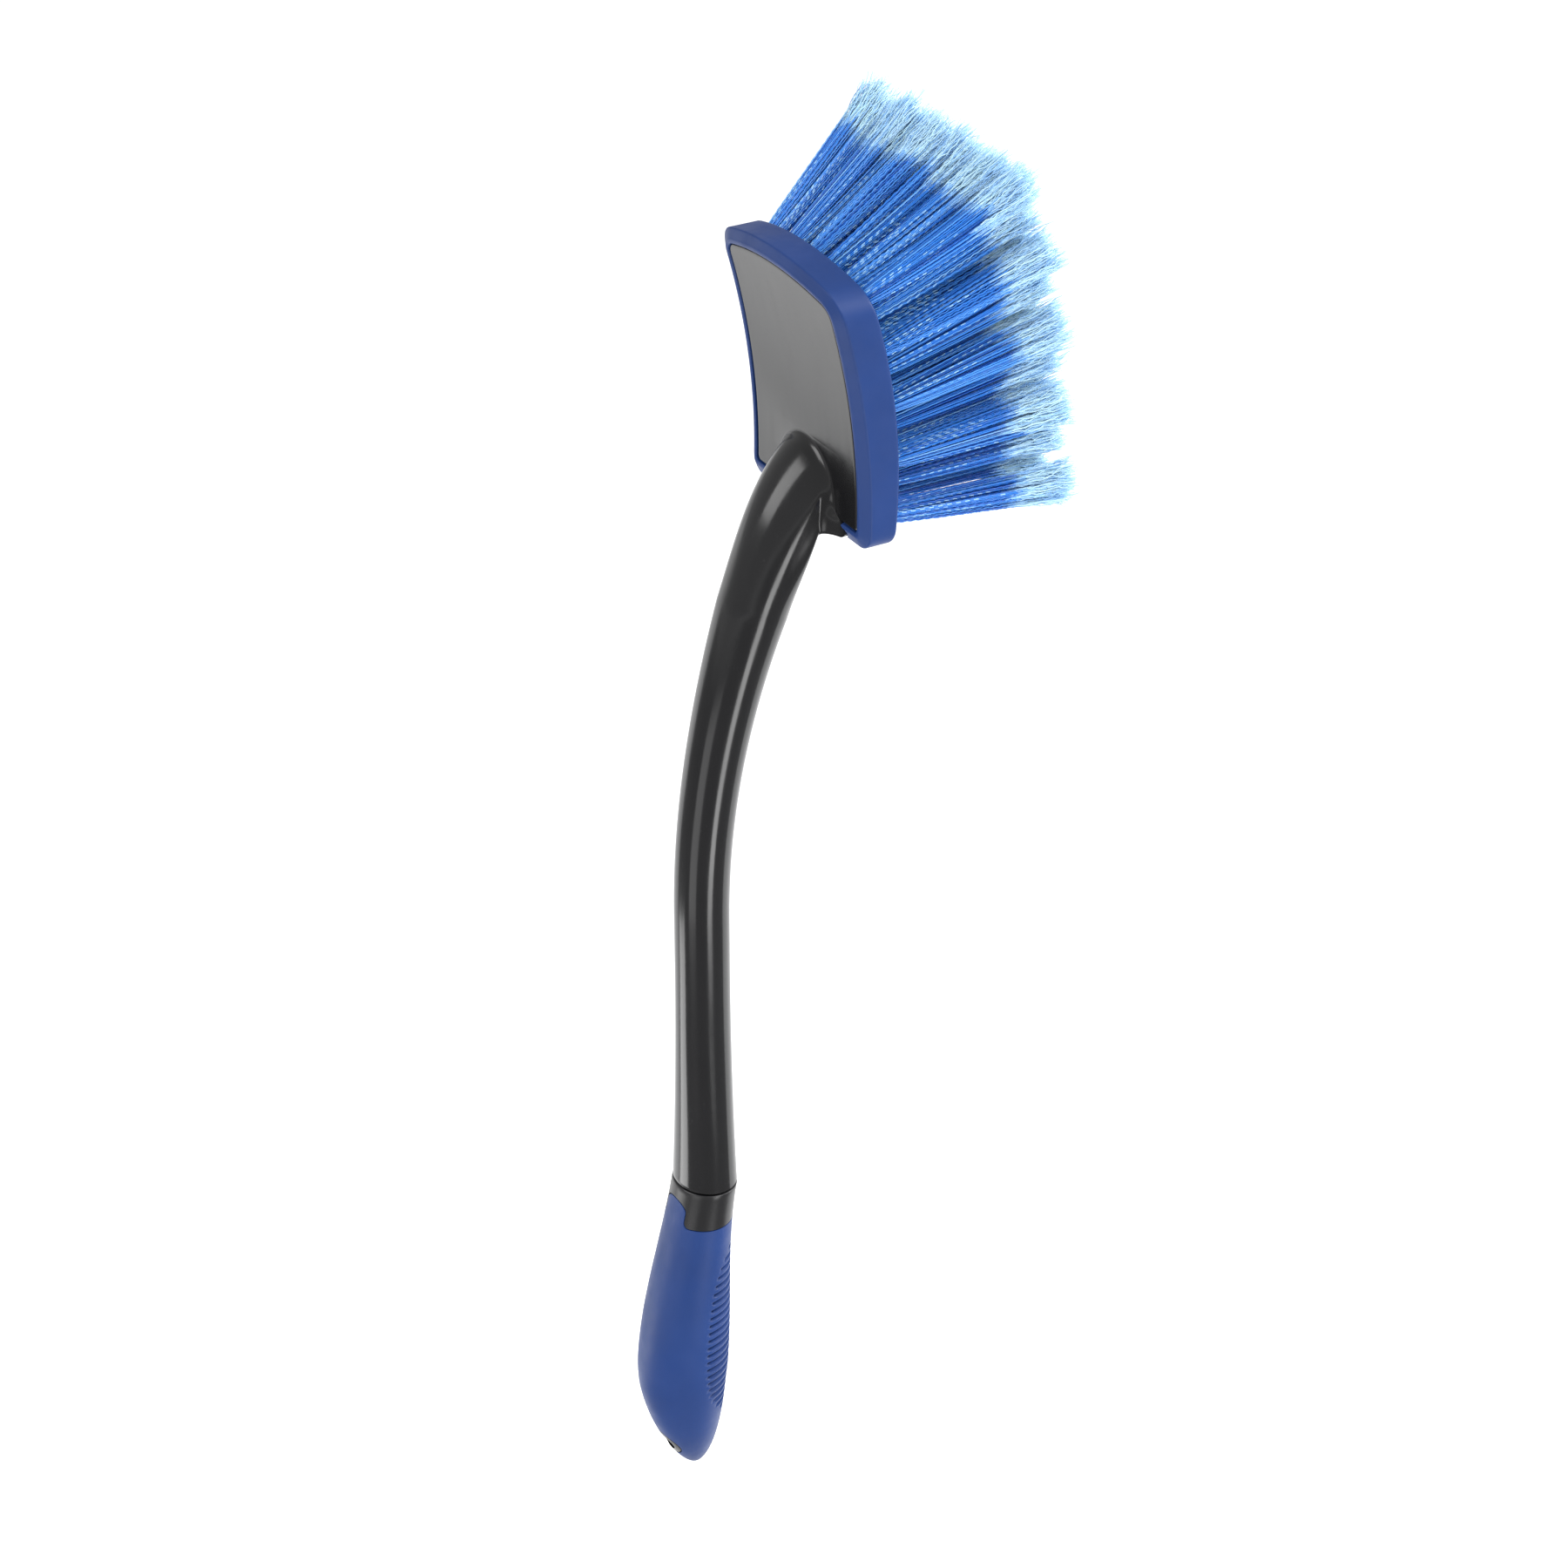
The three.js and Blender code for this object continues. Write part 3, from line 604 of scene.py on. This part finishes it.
class Tuft:
    """Filaments that leave one hole together, spread, and draw together into a few wisps."""

    def __init__(self, root, direction, rng):
        self.root, self.direction, self.rng = root, direction, rng
        self.side, self.up = tuft_axes(direction)
        self.basis = np.stack([self.side, self.up])
        self.spots = disc_points(rng, FILAMENTS, 0.05)
        wisps = disc_points(rng, WISPS, 0.1)
        self.wisp = np.argmin(np.linalg.norm(self.spots[:, None] - wisps[None], axis=2), axis=1)
        drawn = self.spots + WISP_PULL * (wisps[self.wisp] - self.spots)
        self.ends = drawn + rng.normal(0, 0.05, self.spots.shape)
        self.length = self.cut_length()
        self.dyed = self.length * self.dyed_share()
        high = np.clip((root[2] - HEAD_MIDDLE_Z) / 32, 0, 1)
        self.lean = rng.normal(0, 0.009, 2) + [0, TOP_LEAN * high**2]
        self.crimp = rng.choice([0.05, 0.08, 0.11, 0.14])

    def cut_length(self):
        """Each filament's length, uneven from tuft to tuft, wisp to wisp and filament to filament."""
        length = TUFT_LENGTH + self.rng.normal(-1.7, 0.5) + self.rng.normal(0, 0.7, FILAMENTS)
        return length + 0.7 * self.rng.normal(size=WISPS)[self.wisp]

    def dyed_share(self):
        """The share of each filament's length that is dyed."""
        share = DYED_SHARE + 0.014 * self.rng.normal() + 0.02 * self.rng.normal(size=WISPS)[self.wisp]
        return share + self.rng.normal(0, 0.022, FILAMENTS)

    def line(self, which, distance):
        """Points of the given filaments, this far from the root along the tuft's own line."""
        share = np.clip(distance / TUFT_LENGTH, 0, 1.1)
        spread = (share**SPREAD_POWER)[..., None]
        offset = ROOT_RADIUS * self.spots[which] * (1 - spread) + END_RADIUS * self.ends[which] * spread
        offset = offset + self.lean * (distance * share)[..., None]
        return self.root + self.direction * distance[..., None] + offset @ self.basis

    def add_filaments(self, bundle):
        """The dyed part: one crimped filament each, two points to a wave."""
        rng = self.rng
        which = np.repeat(np.arange(FILAMENTS)[:, None], FILAMENT_STEPS, axis=1)
        start = -HOLE_DEPTH + 0.5
        distance = start + (self.dyed[:, None] - start) * np.linspace(0, 1, FILAMENT_STEPS)[None]
        wave = np.where(np.arange(FILAMENT_STEPS) % 2 == 0, 1.0, -1.0)[None] * smoothstep(distance, 1, 8)
        strength = self.crimp * rng.uniform(0.5, 1.3, (FILAMENTS, 1)) * wave
        tilt = rng.uniform(0, 2 * np.pi, WISPS)[self.wisp] + rng.normal(0, 0.5, FILAMENTS)
        swing = np.stack([np.cos(tilt), np.sin(tilt)], axis=1) @ self.basis
        phase = rng.choice([-1.0, 1.0], WISPS)[self.wisp]
        crimped = (strength * phase[:, None])[..., None] * swing[:, None, :]
        radii = np.full((FILAMENTS, FILAMENT_STEPS), FILAMENT_RADIUS)
        slot_of = self.filament_slots(phase < 0)
        bundle.add(self.line(which, distance) + crimped, radii, self.side, self.up, 4, slot_of)

    def filament_slots(self, turned):
        """Each step's material: the filament's own tone, or a paler tone painted on the crests of its crimp
        as their highlight.

        Filaments in the lower rows get more of the deeper tones, as painted shade. Where turned is true, the
        crests fall on odd steps."""
        rng = self.rng
        # Lower rows get more of the deeper tones: painted shade.
        low = 0.11 * np.clip((HEAD_MIDDLE_Z - self.root[2]) / 30, -0.3, 1)
        shade = rng.choice(4, FILAMENTS, p=[0.22 + 2 * low, 0.4, 0.26 - low, 0.12 - low])
        # How many filaments of each wisp get highlights painted on their crimp crests.
        painted_glint_share = rng.uniform(0.2, 1.8, WISPS) * (0.12 + 4.5 * (self.crimp - 0.05))
        dashed = rng.uniform(size=FILAMENTS) < painted_glint_share[self.wisp]
        shade = np.where(dashed, np.clip(shade, 1, 2), shade)
        # Some crests are left without the painted highlight, at random.
        pale_edge_or_glint_gap = rng.uniform(size=(FILAMENTS, FILAMENT_STEPS)) < 0.22
        painted_glint_end = rng.integers(FILAMENT_STEPS // 2, FILAMENT_STEPS - 3, FILAMENTS)

        def slot_of(tube, step):
            crest = ((step + turned[tube]) % 2 == 0) & (step > 5) & (step < painted_glint_end[tube])
            return np.where(dashed[tube] & crest & ~pale_edge_or_glint_gap[tube, step], PAINTED_GLINT, shade[tube])

        return slot_of

    def add_hairs(self, bundle):
        """The flagged part: each filament splits into fine pale hairs, a few of them stray."""
        rng = self.rng
        total = FILAMENTS * FLAG_HAIRS
        parent = np.repeat(np.arange(FILAMENTS), FLAG_HAIRS)
        which = np.repeat(parent[:, None], HAIR_STEPS, axis=1)
        begin = self.dyed[parent][:, None] - rng.uniform(0.2, 3.0, (total, 1))
        finish = self.length[parent][:, None] * rng.normal(0.988, 0.014, (total, 1))
        stray = rng.uniform(size=(total, 1)) < 0.02
        finish = finish + 1.4 * stray
        grow = np.linspace(0, 1, HAIR_STEPS)[None]
        distance = begin + (finish - begin) * grow
        aim = rng.normal(0, 1, (total, 1, 2)) * 0.7 * grow[..., None] ** 1.1
        curl = np.cumsum(rng.normal(0, 0.2, (total, HAIR_STEPS, 2)), axis=1) * grow[..., None] ** 0.7
        frizz = rng.normal(0, 0.2, (total, HAIR_STEPS, 2)) * np.minimum(grow[..., None] * 3, 1)
        wander = (aim + curl * (1 + 1.5 * stray[..., None]) + frizz) @ self.basis
        radii = (HAIR_RADIUS - HAIR_THINNING * grow) * np.ones((total, 1))
        tone = rng.choice(3, total, p=[0.3, 0.38, 0.32])

        def slot_of(tube, step):
            return TIP_START + np.where(step < 2, 0, 1 + tone[tube])

        bundle.add(self.line(which, distance) + wander, radii, self.side, self.up, 3, slot_of)


def make_tuft(name, root, direction, rng):
    tuft = Tuft(root, direction, rng)
    bundle = Bundle()
    tuft.add_filaments(bundle)
    tuft.add_hairs(bundle)
    return bundle.build("bristles_" + name)


# ---- Materials ----
class Nodes:
    """Short calls for building a procedural material."""

    def __init__(self, name):
        self.material = bpy.data.materials.new(name)
        self.material.use_nodes = True
        self.tree = self.material.node_tree
        self.shader = self.tree.nodes["Principled BSDF"]
        self.place = self.new("ShaderNodeTexCoord").outputs["Object"]

    def new(self, kind, **settings):
        node = self.tree.nodes.new(kind)
        for key, value in settings.items():
            setattr(node, key, value)
        return node

    def link(self, source, target):
        self.tree.links.new(source, target)

    def noise(self, scale, detail=2.0, stretch=(1, 1, 1)):
        mapping = self.new("ShaderNodeMapping")
        mapping.inputs["Scale"].default_value = stretch
        self.link(self.place, mapping.inputs["Vector"])
        node = self.new("ShaderNodeTexNoise")
        node.inputs["Scale"].default_value = scale
        node.inputs["Detail"].default_value = detail
        self.link(mapping.outputs["Vector"], node.inputs["Vector"])
        return node.outputs["Fac"]

    def ramp(self, value, stops):
        node = self.new("ShaderNodeValToRGB")
        ramp = node.color_ramp
        ramp.elements[0].position, ramp.elements[0].color = stops[0][0], (*stops[0][1], 1)
        ramp.elements[1].position, ramp.elements[1].color = stops[-1][0], (*stops[-1][1], 1)
        for position, color in stops[1:-1]:
            ramp.elements.new(position).color = (*color, 1)
        self.link(value, node.inputs["Fac"])
        return node.outputs["Color"]

    def plain(self, color):
        node = self.new("ShaderNodeRGB")
        node.outputs[0].default_value = (*color, 1)
        return node.outputs[0]

    def spread(self, value, low, high, to_low, to_high):
        node = self.new("ShaderNodeMapRange")
        limits = {"From Min": low, "From Max": high, "To Min": to_low, "To Max": to_high}
        for key, number in limits.items():
            node.inputs[key].default_value = number
        self.link(value, node.inputs["Value"])
        return node.outputs["Result"]

    def mix(self, share, a, b):
        """Colour a where share is 0 and colour b where it is 1; they are inputs 6 and 7 of the node."""
        node = self.new("ShaderNodeMix", data_type="RGBA")
        factor, first, second = node.inputs[0], node.inputs[6], node.inputs[7]
        self.link(share, factor)
        self.link(a, first)
        self.link(b, second)
        return node.outputs[2]

    def bump(self, heights):
        """heights: (value, strength, distance in metres) from coarse to fine, stacked."""
        normal = None
        for value, strength, distance in heights:
            node = self.new("ShaderNodeBump")
            node.inputs["Strength"].default_value = strength
            node.inputs["Distance"].default_value = distance
            self.link(value, node.inputs["Height"])
            if normal is not None:
                self.link(normal, node.inputs["Normal"])
            normal = node.outputs["Normal"]
        self.link(normal, self.shader.inputs["Normal"])

    def set(self, **values):
        for key, value in values.items():
            self.shader.inputs[key.replace("_", " ")].default_value = value


def black_plastic(name, tone, low_roughness, high_roughness, grain):
    """Moulded black plastic: cloudy tone, fine pale dust, drawn streaks in the gloss and a faint grain."""
    m = Nodes(name)
    m.set(IOR=1.5)
    cloud = m.noise(28, 4)
    specks = m.noise(1900, 2)
    dark = tuple(c * 0.8 for c in tone)
    base = m.ramp(cloud, [(0.3, dark), (0.7, tone)])
    dust = m.ramp(specks, [(0.0, (0, 0, 0)), (0.74, (0, 0, 0)), (0.8, (0.5, 0.5, 0.5))])
    m.link(m.mix(dust, base, m.plain((0.11, 0.11, 0.115))), m.shader.inputs["Base Color"])
    streaks = m.noise(240, 3, (1, 1, 0.06))
    m.link(m.spread(streaks, 0.3, 0.7, low_roughness, high_roughness), m.shader.inputs["Roughness"])
    m.bump([(cloud, 0.2, 0.0004), (m.noise(2600, 2), grain, 0.00004)])
    return m.material


def blue_rubber(name):
    """Soft blue rubber, paler on convex edges, partly from rubbing and partly as painted highlight, and
    darker in the grooves and seams as painted shade.
    """
    m = Nodes(name)
    m.set(IOR=1.42, Specular_IOR_Level=0.4)
    cloud = m.noise(45, 5)
    base = m.ramp(cloud, [(0.25, (0.0062, 0.031, 0.142)), (0.75, (0.0082, 0.038, 0.172))])
    pointiness = m.new("ShaderNodeNewGeometry").outputs["Pointiness"]
    # Convex edges turn paler, partly from rubbing and partly as a painted highlight.
    pale_edge_or_glint_gap = m.mix(m.spread(pointiness, 0.53, 0.62, 0, 0.3), base, m.plain((0.04, 0.09, 0.27)))
    # Hollows such as the finger-pad grooves and seams turn dark navy: painted shade.
    painted_hollow_shade = m.mix(m.spread(pointiness, 0.44, 0.485, 0.85, 0), pale_edge_or_glint_gap, m.plain((0.002, 0.006, 0.02)))
    m.link(painted_hollow_shade, m.shader.inputs["Base Color"])
    m.link(m.spread(m.noise(160, 4), 0.3, 0.7, 0.4, 0.52), m.shader.inputs["Roughness"])
    m.bump([(cloud, 0.12, 0.0003), (m.noise(3200, 3), 0.3, 0.00006)])
    return m.material


def bristle_material(name, color, roughness):
    """One plain colour for a stretch of filament, with a gloss that varies from place to place."""
    m = Nodes(name)
    m.set(Base_Color=(*color, 1), Roughness=roughness, IOR=1.49)
    m.link(m.spread(m.noise(700, 2), 0.35, 0.65, 0.25, 0.8), m.shader.inputs["Specular IOR Level"])
    return m.material


gloss_black = black_plastic("gloss_black", (0.0085, 0.0085, 0.0095), 0.13, 0.2, 0.05)
grip_black = black_plastic("grip_black", (0.01, 0.01, 0.0115), 0.26, 0.36, 0.12)
blue_tpr = blue_rubber("blue_tpr")
bristle_materials = [
    bristle_material("bristle_deep", (0.012, 0.105, 0.48), 0.34),
    bristle_material("bristle_blue", (0.032, 0.215, 0.72), 0.32),
    bristle_material("bristle_mid", (0.075, 0.31, 0.83), 0.3),
    bristle_material("bristle_bright", (0.2, 0.48, 0.9), 0.28),
    # A paler tone painted on the crimp crests as their highlight.
    bristle_material("bristle_painted_glint", (0.33, 0.62, 0.95), 0.24),
    bristle_material("tip_dusk", (0.27, 0.54, 0.92), 0.45),
    bristle_material("tip_sky", (0.35, 0.62, 0.96), 0.45),
    bristle_material("tip_pale", (0.51, 0.76, 0.97), 0.45),
    bristle_material("tip_ice", (0.56, 0.82, 0.94), 0.45),
]


# ---- Assembly ----
def finish_piece(piece, material, slot, *nodes):
    if material:
        piece.data.materials.clear()
        piece.data.materials.append(material)
    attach(piece, "root")
    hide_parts(*nodes)


layout = tuft_layout()
finish_piece(make_handle(layout), gloss_black, "gloss_black", "handle_moulding")
finish_piece(make_bumper(), blue_tpr, "blue_tpr", "bumper_rim")
finish_piece(make_grip_core(), grip_black, "grip_black", "grip_core")
finish_piece(make_grip_sleeve(), blue_tpr, "blue_tpr", "grip_sleeve")
rng = np.random.default_rng(SEED)
for name, root, direction in layout:
    finish_piece(make_tuft(name, root, direction, rng), None, "bristle_blue", "tuft_" + name)


# ---- Studio, in metres ----
FLOOR_Z, FLOOR_HALF = -0.22, 9.0
CARD_LIFT, CARD_RADIUS = 0.004, 4.0


def stage_mesh(name, points, faces, material):
    made = mesh_object(name, np.asarray(points, float) * 1000, faces)
    made.data.materials.append(material)
    made.data.shade_smooth()
    return made


def paper(name, scale, detail, low, high, roughness, specular, glow):
    m = Nodes(name)
    m.link(m.ramp(m.noise(scale, detail), [(0.3, low), (0.7, high)]), m.shader.inputs["Base Color"])
    m.set(Roughness=roughness, Specular_IOR_Level=specular)
    m.set(Emission_Color=(1, 1, 1, 1), Emission_Strength=glow)
    return m.material


def floor():
    corners = [(-1, -1), (1, -1), (1, 1), (-1, 1)]
    points = [(x * FLOOR_HALF, y * FLOOR_HALF, FLOOR_Z) for x, y in corners]
    pale = paper("floor_paper", 6, 3, (0.86, 0.865, 0.87), (0.88, 0.885, 0.89), 0.9, 0.2, 0.42)
    stage_mesh("floor", points, [(0, 1, 2, 3)], pale)


def reflection_card():
    """A grey fan just over the floor on the camera's side, seen only in reflections."""
    z = FLOOR_Z + CARD_LIFT
    azimuths = np.radians(np.arange(126, 346, 15))
    points = [(0, 0, z)] + [(CARD_RADIUS * math.cos(a), CARD_RADIUS * math.sin(a), z) for a in azimuths]
    faces = [(0, i, i + 1) for i in range(1, len(azimuths))]
    dark = paper("dark_card", 3, 2, (0.012,) * 3, (0.016,) * 3, 1.0, 0.0, 0.35)
    card = stage_mesh("dark_card", points, faces, dark)
    card.visible_camera = False
    card.visible_diffuse = False
    card.visible_shadow = False


def softbox(name, place, aim, width, height, power):
    data = bpy.data.lights.new(name, "AREA")
    data.shape = "RECTANGLE"
    data.size, data.size_y = width, height
    data.energy = power
    lamp = bpy.data.objects.new(name, data)
    lamp.location = place
    lamp.rotation_euler = (Vector(aim) - Vector(place)).to_track_quat("-Z", "Y").to_euler()
    lamp.visible_camera = False
    bpy.context.scene.collection.objects.link(lamp)


floor()
reflection_card()
middle = (0.03, 0, 0.15)
head = (0.045, 0, 0.31)
bristles = (0.09, 0, 0.33)
shaft = (0.03, 0, 0.2)
grip = (0, 0, 0)
softbox("key", (0.3, -1.5, 1.6), middle, 0.6, 1.0, 19)
softbox("left_fill", (-1.4, 0.3, 1.1), middle, 0.9, 0.9, 11)
softbox("top_fill", (0.25, -0.25, 1.9), bristles, 0.7, 0.7, 6)
softbox("right_wall", (1.3, -0.6, 0.4), middle, 0.3, 1.6, 6)
softbox("panel_glow", (-0.42, 0.85, 0.0), head, 0.5, 0.4, 0.3)
softbox("shaft_streak", (0.01, -0.42, 0.02), shaft, 0.13, 0.24, 0.62)
softbox("left_band", (-0.4, -0.13, 0.02), shaft, 0.2, 0.24, 0.24)
softbox("sleeve_edge", (-0.3, 0.2, -0.16), grip, 0.2, 0.15, 0.42)
softbox("tip_fill", (1.1, -0.5, 0.9), bristles, 0.6, 0.6, 10)

world = bpy.data.worlds.new("studio")
bpy.context.scene.world = world
world.use_nodes = True
backdrop = world.node_tree.nodes["Background"]
backdrop.inputs["Color"].default_value = (1, 1, 1, 1)
backdrop.inputs["Strength"].default_value = 0.55

camera_data = bpy.data.cameras.new("camera")
camera_data.lens = 89.72
camera_data.sensor_width = 36.0
camera_data.clip_end = 100
camera = bpy.data.objects.new("camera", camera_data)
camera.location = (-0.4647, -0.8677, 0.7651)
# The view's right, up and backward directions: 30 degrees round from the side, 30 degrees down.
view_axes = Matrix(((0.8660, -0.5, 0), (0.25, 0.4330, 0.8660), (-0.4330, -0.75, 0.5)))
camera.rotation_euler = view_axes.transposed().to_euler()
bpy.context.scene.collection.objects.link(camera)
bpy.context.scene.camera = camera
bpy.context.scene.view_settings.view_transform = "Standard"
